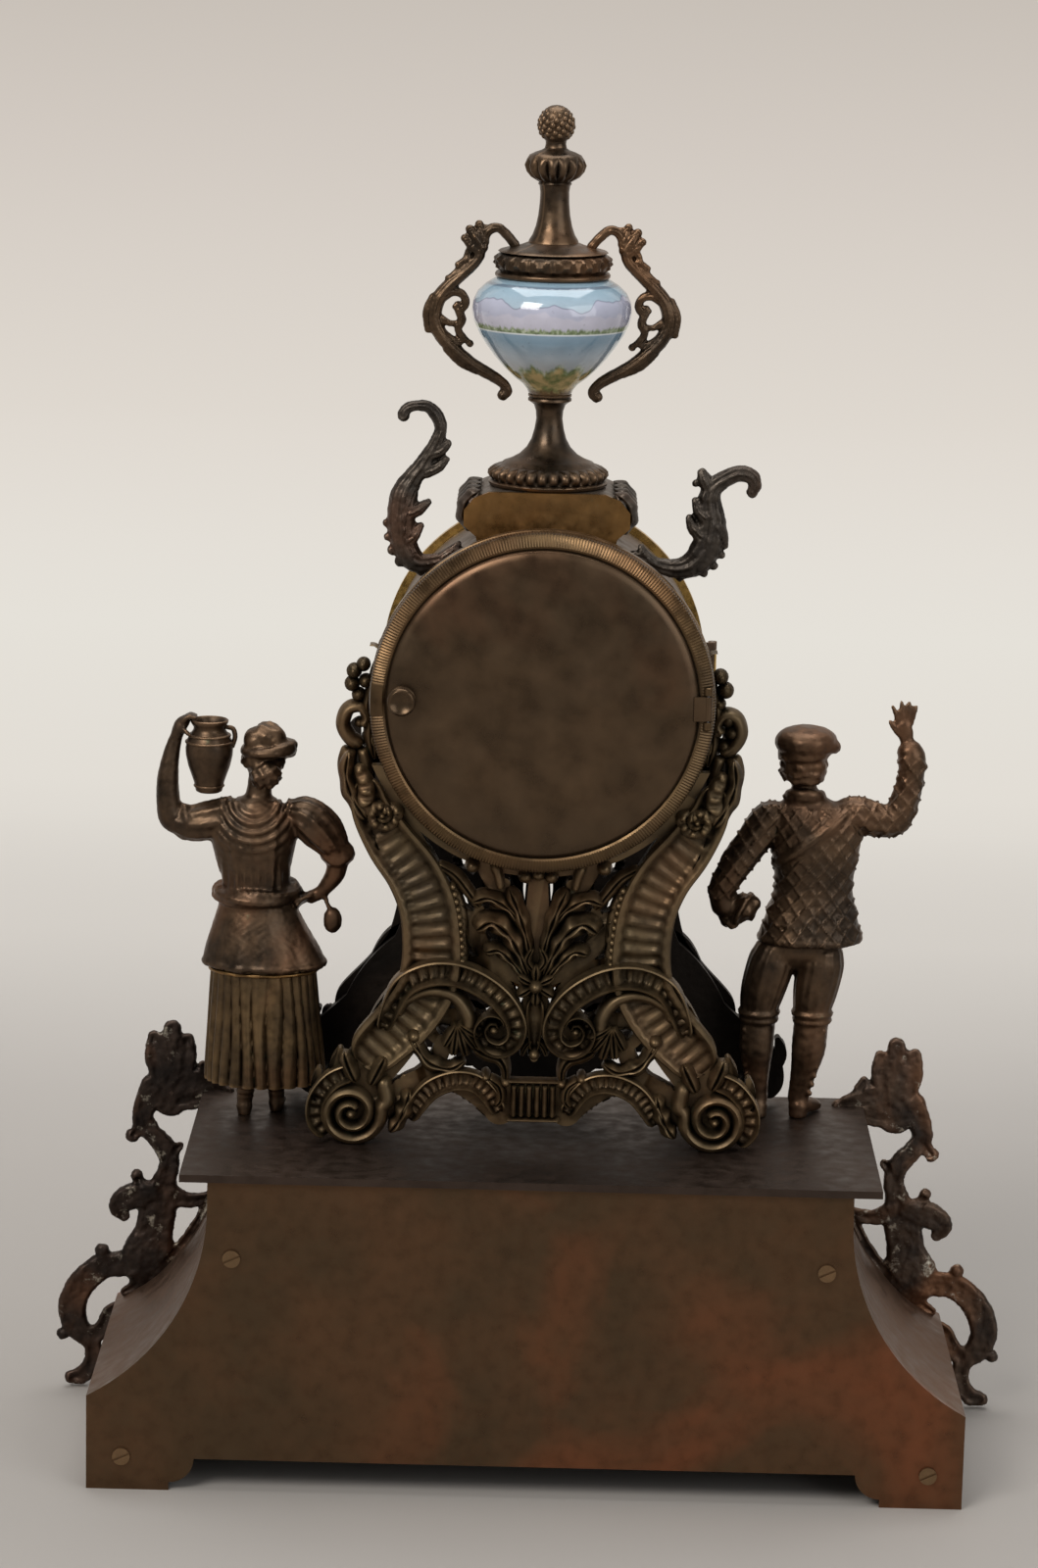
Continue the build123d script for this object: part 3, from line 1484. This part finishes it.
scroll_height = 50.0
scroll_base = 300.0
scroll_y = -5.5
scroll_depth = 5.6
left_scroll_shares = [
    [
        (0.56, 0.08, 0.06), (0.76, -0.03, 0.07), (0.92, -0.07, 0.075), (1.02, 0.06, 0.075),
        (1.0, 0.26, 0.08), (0.90, 0.46, 0.075), (0.78, 0.64, 0.06), (0.71, 0.82, 0.05),
        (0.74, 0.98, 0.045), (0.84, 1.05, 0.04), (0.94, 1.01, 0.04),
    ],
    [(0.94, 0.40, 0.05), (1.04, 0.46, 0.02)],
    [(0.76, 0.66, 0.05), (0.66, 0.72, 0.03)],
    [(0.97, 0.24, 0.05), (1.10, 0.22, 0.03)],
    [(0.88, 0.44, 0.05), (0.78, 0.38, 0.03)],
]
right_scroll_shares = [
    [
        (0.62, 0.06, 0.06), (0.84, -0.05, 0.07), (1.0, -0.06, 0.075), (1.12, 0.10, 0.075),
        (1.12, 0.34, 0.075), (1.06, 0.52, 0.06), (1.10, 0.66, 0.05), (1.22, 0.70, 0.045),
        (1.33, 0.61, 0.04),
    ],
    [(1.04, 0.50, 0.05), (0.96, 0.62, 0.02)],
    [(1.13, 0.24, 0.05), (1.20, 0.34, 0.03)],
    [(1.08, 0.12, 0.05), (0.98, 0.20, 0.03)],
]

for side, shares, name in (
    (-1, left_scroll_shares, "top_scroll_left"), (1, right_scroll_shares, "top_scroll_right"),
):
    members = bands(shares, scroll_height, (0, scroll_base), side)
    with BuildPart() as top_scroll:
        with BuildSketch(upright(scroll_y + scroll_depth / 2)):
            for member in members:
                add(member)
            with Locations((0, drum_axis_height)):
                Circle(drum_radius, mode=Mode.SUBTRACT)
        extrude(amount=scroll_depth)
    save(top_scroll, name)

# Urn pedestal on top of the drum, a casting with a plain brass back plate

pedestal_top = 325.0
pedestal_rear = -8.0
pedestal_front = 30.0
pedestal_plate = 2.0
pedestal_height = 25.0
pedestal_half_shares = [
    (0.76, 1.0), (0.95, 0.92), (1.08, 0.76), (1.08, 0.56), (0.92, 0.42), (0.88, 0.28), (0.88, 0.0),
]
urn_y = 10.0
rod_radius = 1.3
rod_bottom = 314.0
pedestal_half = [
    (x * pedestal_height, pedestal_top + (z - 1) * pedestal_height)
    for x, z in pedestal_half_shares
]
pedestal_points = pedestal_half + [(-x, z) for x, z in pedestal_half[::-1]]

for rear, front, name in (
    (pedestal_rear - pedestal_plate, pedestal_rear, "pedestal_back_plate"),
    (pedestal_rear, pedestal_front, "urn_pedestal"),
):
    with BuildPart() as pedestal:
        with BuildSketch(upright(front)):
            with BuildLine():
                Polyline(*pedestal_points, close=True)
            make_face()
            with Locations((0, drum_axis_height)):
                Circle(drum_radius, mode=Mode.SUBTRACT)
        extrude(amount=front - rear)
        with BuildSketch(level(rod_bottom)):
            with Locations((0, urn_y)):
                Circle(rod_radius + pin_clearance)
        extrude(amount=pedestal_height, mode=Mode.SUBTRACT)
    save(pedestal, name)

# Urn, turned pieces threaded on one rod

urn_height = 125.0
urn_base = pedestal_top
bore_share = 0.0108
foot_turning_shares = [
    (bore_share, 0.0), (0.150, 0.0), (0.155, 0.014), (0.148, 0.030), (0.140, 0.040), (0.130, 0.062),
    (0.088, 0.086), (0.052, 0.110),
    (0.037, 0.144), (0.034, 0.176), (0.037, 0.206), (0.057, 0.224), (0.057, 0.240), (bore_share, 0.240),
]
bowl_turning_shares = [
    (bore_share, 0.240), (0.055, 0.240), (0.072, 0.262), (0.120, 0.302), (0.168, 0.366), (0.200, 0.424),
    (0.209, 0.462), (0.200, 0.502),
    (0.168, 0.532), (0.140, 0.544), (0.124, 0.544), (0.152, 0.522), (0.184, 0.494), (0.192, 0.462),
    (0.184, 0.430), (0.152, 0.378),
    (0.108, 0.320), (0.060, 0.280), (bore_share, 0.268),
]
lid_turning_shares = [
    (bore_share, 0.544), (0.147, 0.544), (0.151, 0.556), (0.146, 0.568), (0.150, 0.590), (0.146, 0.608),
    (0.112, 0.620),
    (0.072, 0.628), (0.066, 0.634), (bore_share, 0.634),
]
neck_turning_shares = [
    (bore_share, 0.634), (0.066, 0.634), (0.050, 0.664), (0.040, 0.710), (0.037, 0.760), (0.042, 0.784),
    (0.050, 0.802), (0.073, 0.826), (0.076, 0.844), (0.066, 0.862), (0.040, 0.874),
    (0.028, 0.880), (0.0, 0.880), (0.0, 0.848), (bore_share, 0.848),
]
berry_turning_shares = [
    (0.0, 0.880), (0.028, 0.880), (0.028, 0.894), (0.042, 0.904), (0.050, 0.926), (0.050, 0.948),
    (0.040, 0.972), (0.022, 0.986), (0.0, 0.990),
]
urn_axis = (0, urn_y, urn_base)


def turned_piece(shares, name):
    """Turned piece of the urn, saved under its name."""
    with BuildPart() as body:
        add(turned(shares, urn_height, urn_axis))
    save(body, name)
    return body.part


turned_piece(foot_turning_shares, "urn_foot")
turned_piece(bowl_turning_shares, "urn_bowl")
urn_lid = turned_piece(lid_turning_shares, "urn_lid")
turned_piece(neck_turning_shares, "urn_neck")
turned_piece(berry_turning_shares, "urn_finial")

rod_top_share = 0.846

with BuildPart() as urn_rod:
    with BuildSketch(level(rod_bottom)):
        with Locations((0, urn_y)):
            Circle(rod_radius)
    extrude(amount=urn_base - rod_bottom + rod_top_share * urn_height)
save(urn_rod, "urn_rod")

# Two cast handles of the urn

handle_height = 50.0
handle_base = 353.0
handle_depth = 4.4
handle_shares = [
    [
        (0.35, 1.01, 0.05), (0.48, 1.08, 0.05), (0.57, 1.02, 0.045), (0.60, 0.88, 0.045),
        (0.68, 0.76, 0.045), (0.77, 0.63, 0.05), (0.79, 0.48, 0.05), (0.73, 0.32, 0.045),
        (0.58, 0.20, 0.04), (0.42, 0.13, 0.035), (0.33, 0.07, 0.045),
    ],
    [(0.54, 1.04, 0.05), (0.55, 1.14, 0.04)],
    [(0.62, 0.84, 0.03), (0.60, 0.72, 0.03), (0.62, 0.64, 0.03)],
    [(0.72, 0.36, 0.04), (0.64, 0.44, 0.03), (0.62, 0.52, 0.025)],
]

handle_members = []
for side in (-1, 1):
    handle_members += bands(handle_shares, handle_height, (0, handle_base), side)

with BuildPart() as urn_handles:
    with BuildSketch(upright(urn_y + handle_depth / 2)):
        for member in handle_members:
            add(member)
    extrude(amount=handle_depth)
    add(urn_lid, mode=Mode.SUBTRACT)
save(urn_handles, "urn_handles")

# Woman with a jug, seen from behind in the photographed view

figure_height = 140.0
woman_origin = (-92.5, woman_y, plinth_height)
hem_share = 0.37
skirt_hem_share = 0.09
skirt_shares = [
    (0.012, 0, 0.09, 0.147, 0.115), (0.010, 0, 0.20, 0.140, 0.105), (0.008, 0, 0.30, 0.132, 0.095),
    (0.006, 0, hem_share, 0.126, 0.088),
]
bodice_shares = [
    (0.008, 0, hem_share, 0.146, 0.105), (-0.002, 0, 0.44, 0.125, 0.092),
    (-0.015, 0, 0.52, 0.092, 0.068), (-0.02, 0, 0.56, 0.080, 0.060),
    (-0.02, 0, 0.62, 0.090, 0.066), (-0.02, 0, 0.69, 0.104, 0.072), (-0.018, 0, 0.745, 0.098, 0.060),
    (-0.012, 0, 0.785, 0.036, 0.034),
]
neck_shares = [(-0.012, 0, 0.77, 0.032), (-0.002, 0, 0.86, 0.030)]
head_shares = [(0.0, 0.01, 0.885, 0.060)]
bonnet_shares = [(0.002, -0.012, 0.905, 0.068)]
bun_shares = [(0.0, -0.05, 0.845, 0.032)]
raised_arm_shares = [
    (-0.105, 0, 0.735, 0.038), (-0.215, 0, 0.725, 0.036), (-0.222, 0, 0.84, 0.025),
    (-0.195, 0, 0.945, 0.020),
]
hip_arm_shares = [
    (0.075, 0, 0.725, 0.048), (0.13, -0.01, 0.70, 0.045), (0.178, -0.01, 0.645, 0.030),
    (0.150, 0, 0.56, 0.022), (0.115, 0, 0.55, 0.022),
]
jug_turning_shares = [
    (0.0, 0.79), (0.030, 0.79), (0.034, 0.80), (0.050, 0.85), (0.056, 0.90), (0.052, 0.93),
    (0.040, 0.945), (0.044, 0.965), (0.0, 0.965),
]
jug_x_share = -0.128
bag_shares = [(0.160, -0.01, 0.545, 0.017), (0.172, -0.01, 0.475, 0.026)]
woman_left_leg_shares = [(-0.035, -0.01, 0.025, 0.020), (-0.030, -0.01, 0.10, 0.024)]
woman_right_leg_shares = [(0.040, 0.025, 0.025, 0.020), (0.036, 0.02, 0.10, 0.024)]
woman_shoe_shares = [
    [(-0.035, -0.015, 0.018, 0.022), (-0.040, 0.05, 0.014, 0.018)],
    [(0.040, 0.02, 0.018, 0.022), (0.048, 0.085, 0.014, 0.018)],
]
below_plate = 12.0

skirt_body = lofted(skirt_shares, figure_height, woman_origin)
bodice_body = lofted(bodice_shares, figure_height, woman_origin)
jug_x = woman_origin[0] + jug_x_share * figure_height
jug_body = turned(jug_turning_shares, figure_height, (jug_x, woman_y, plinth_height))

with BuildPart() as woman_skirt:
    add(skirt_body)
save(woman_skirt, "woman_skirt")

with BuildPart() as woman_jug:
    add(jug_body)
save(woman_jug, "woman_jug")

with BuildPart() as woman_upper:
    add(bodice_body)
    for shares in (neck_shares, raised_arm_shares, hip_arm_shares, bag_shares):
        limb(figure_points(shares, figure_height, woman_origin))
    for shares in (head_shares, bonnet_shares, bun_shares):
        for x, y, z, r in figure_points(shares, figure_height, woman_origin):
            with Locations((x, y, z)):
                Sphere(r)
    add(jug_body, mode=Mode.SUBTRACT)
save(woman_upper, "woman_upper")

with BuildPart() as woman_legs:
    for shares in [woman_left_leg_shares, woman_right_leg_shares] + woman_shoe_shares:
        limb(figure_points(shares, figure_height, woman_origin))
    add(skirt_body, mode=Mode.SUBTRACT)
    with Locations((woman_x, woman_y, plinth_height - below_plate / 2)):
        Box(figure_height, figure_height, below_plate, mode=Mode.SUBTRACT)
    with BuildSketch(level(plinth_height)):
        with Locations(stud_places[0]):
            Circle(stud_radius + pin_clearance)
    extrude(amount=stud_reach, mode=Mode.SUBTRACT)
save(woman_legs, "woman_legs")

# Man who waves, in a jacket, breeches and a soft cap

man_origin = (90.5, man_y, plinth_height)
jacket_hem_share = 0.44
jacket_shares = [
    (0.012, 0, jacket_hem_share, 0.128, 0.092), (0.012, 0, 0.50, 0.112, 0.080),
    (0.015, 0, 0.58, 0.094, 0.068), (0.017, 0, 0.66, 0.104, 0.070),
    (0.017, 0, 0.73, 0.112, 0.068), (0.012, 0, 0.775, 0.098, 0.054), (-0.012, 0, 0.81, 0.036, 0.034),
]
man_neck_shares = [(-0.013, 0, 0.780, 0.029), (-0.018, 0.001, 0.860, 0.031)]
man_head_shares = [(-0.018, 0.005, 0.880, 0.060)]
waving_arm_shares = [
    (0.100, 0, 0.755, 0.042), (0.205, 0, 0.745, 0.038), (0.242, 0, 0.86, 0.030),
    (0.222, 0, 0.955, 0.022), (0.215, 0, 1.02, 0.014),
]
resting_arm_shares = [
    (-0.085, 0, 0.745, 0.042), (-0.150, -0.01, 0.66, 0.036), (-0.200, -0.005, 0.575, 0.034),
    (-0.190, 0, 0.48, 0.024),
]
cap_turning_shares = [
    (0.0, 0.905), (0.055, 0.905), (0.070, 0.917), (0.075, 0.936), (0.066, 0.958), (0.040, 0.970),
    (0.0, 0.974),
]
cap_x_share = -0.018
cap_y_share = -0.007
held_hat_shares = [(-0.165, 0.0, 0.50, 0.036), (-0.135, 0.0, 0.52, 0.036)]
man_leg_shares = [
    [(-0.090, 0, 0.44, 0.062), (-0.104, 0, 0.25, 0.048), (-0.108, 0, 0.17, 0.040), (-0.102, 0, 0.045, 0.024)],
    [
        (0.030, 0, 0.44, 0.062), (0.024, 0, 0.25, 0.048), (0.018, 0, 0.17, 0.040),
        (-0.002, 0.005, 0.045, 0.024),
    ],
]
man_shoe_shares = [
    [(-0.100, -0.012, 0.020, 0.026), (-0.100, 0.040, 0.014, 0.020)],
    [(-0.002, -0.005, 0.020, 0.026), (0.045, 0.055, 0.014, 0.020)],
]
jacket_body = lofted(jacket_shares, figure_height, man_origin)
cap_x = man_origin[0] + cap_x_share * figure_height
cap_y = man_origin[1] + cap_y_share * figure_height

cap_body = turned(cap_turning_shares, figure_height, (cap_x, cap_y, plinth_height))

with BuildPart() as man_upper:
    add(jacket_body)
    for shares in (man_neck_shares, waving_arm_shares, resting_arm_shares, held_hat_shares):
        limb(figure_points(shares, figure_height, man_origin))
    for x, y, z, r in figure_points(man_head_shares, figure_height, man_origin):
        with Locations((x, y, z)):
            Sphere(r)
    add(cap_body)
save(man_upper, "man_upper")

with BuildPart() as man_legs:
    for shares in man_leg_shares + man_shoe_shares:
        limb(figure_points(shares, figure_height, man_origin))
    with Locations((man_origin[0], man_y, plinth_height + jacket_hem_share * figure_height)):
        Box(
            figure_height, figure_height, figure_height / 2,
            align=(Align.CENTER, Align.CENTER, Align.MIN), mode=Mode.SUBTRACT,
        )
    with Locations((man_origin[0], man_y, plinth_height - below_plate / 2)):
        Box(figure_height, figure_height, below_plate, mode=Mode.SUBTRACT)
    with BuildSketch(level(plinth_height)):
        with Locations(stud_places[1]):
            Circle(stud_radius + pin_clearance)
    extrude(amount=stud_reach, mode=Mode.SUBTRACT)
save(man_legs, "man_legs")
